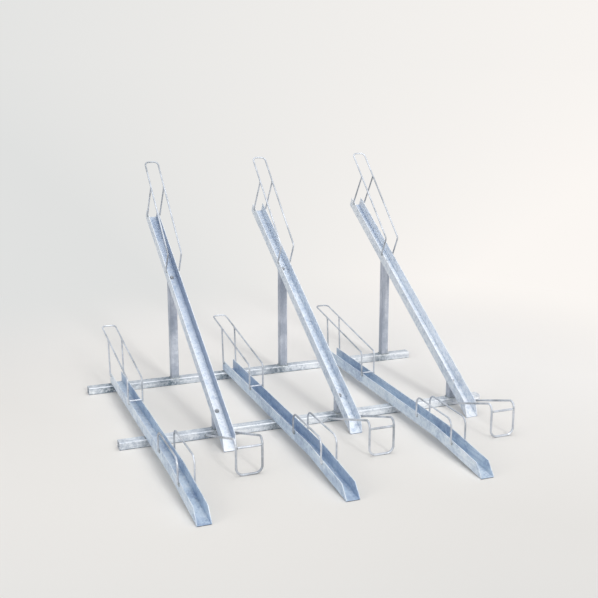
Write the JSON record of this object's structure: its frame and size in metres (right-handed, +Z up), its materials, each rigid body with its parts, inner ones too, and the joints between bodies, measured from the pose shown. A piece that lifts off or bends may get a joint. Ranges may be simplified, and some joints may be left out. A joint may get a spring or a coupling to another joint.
{
  "type": "two tier bike rack",
  "caption": "Galvanised steel two tier bicycle rack: low ramped and high slanted wheel channels on base rails, with bent bar wheel loops, guards and stop hoops.",
  "frame": {"origin": "middle of the floor area under the rack", "axes": "+Z up, +Y from the entry side to the far side where the wheel loops stand, +X to the right seen from the entry side"},
  "size_m": [1.8, 2.0582, 1.1193],
  "materials": {
    "zinc_channel": "hot-dip galvanised plate with a faint spangle",
    "zinc_tube": "hot-dip galvanised tube, dull",
    "zinc_bar": "hot-dip galvanised round bar, smooth",
    "bolt_steel": "zinc plated bolt, darkened"
  },
  "bodies": {
    "root": {"base_rail_front": "zinc_tube", "base_rail_rear": "zinc_tube", "low_channel_1": "zinc_channel", "low_loop_1": "zinc_bar", "low_loop_brace_left_1": "zinc_bar", "low_loop_brace_right_1": "zinc_bar", "high_channel_1": "zinc_channel", "high_loop_1": "zinc_bar", "high_loop_brace_left_1": "zinc_bar", "high_loop_brace_right_1": "zinc_bar", "low_loop_crossbar_1": "zinc_bar", "wheel_guard_left_1": "zinc_bar", "wheel_guard_right_1": "zinc_bar", "front_post_1": "zinc_tube", "front_post_cap_1": "zinc_tube", "front_post_bolt_1": "bolt_steel", "rear_post_1": "zinc_tube", "rear_post_cap_1": "zinc_tube", "rear_post_bolt_1": "bolt_steel", "stop_hoop_1": "zinc_bar", "stop_hoop_crossbar_1": "zinc_bar", "low_channel_2": "zinc_channel", "low_loop_2": "zinc_bar", "low_loop_brace_left_2": "zinc_bar", "low_loop_brace_right_2": "zinc_bar", "high_channel_2": "zinc_channel", "high_loop_2": "zinc_bar", "high_loop_brace_left_2": "zinc_bar", "high_loop_brace_right_2": "zinc_bar", "low_loop_crossbar_2": "zinc_bar", "wheel_guard_left_2": "zinc_bar", "wheel_guard_right_2": "zinc_bar", "front_post_2": "zinc_tube", "front_post_cap_2": "zinc_tube", "front_post_bolt_2": "bolt_steel", "rear_post_2": "zinc_tube", "rear_post_cap_2": "zinc_tube", "rear_post_bolt_2": "bolt_steel", "stop_hoop_2": "zinc_bar", "stop_hoop_crossbar_2": "zinc_bar", "low_channel_3": "zinc_channel", "low_loop_3": "zinc_bar", "low_loop_brace_left_3": "zinc_bar", "low_loop_brace_right_3": "zinc_bar", "high_channel_3": "zinc_channel", "high_loop_3": "zinc_bar", "high_loop_brace_left_3": "zinc_bar", "high_loop_brace_right_3": "zinc_bar", "low_loop_crossbar_3": "zinc_bar", "wheel_guard_left_3": "zinc_bar", "wheel_guard_right_3": "zinc_bar", "front_post_3": "zinc_tube", "front_post_cap_3": "zinc_tube", "front_post_bolt_3": "bolt_steel", "rear_post_3": "zinc_tube", "rear_post_cap_3": "zinc_tube", "rear_post_bolt_3": "bolt_steel", "stop_hoop_3": "zinc_bar", "stop_hoop_crossbar_3": "zinc_bar"}
  },
  "joints": []
}
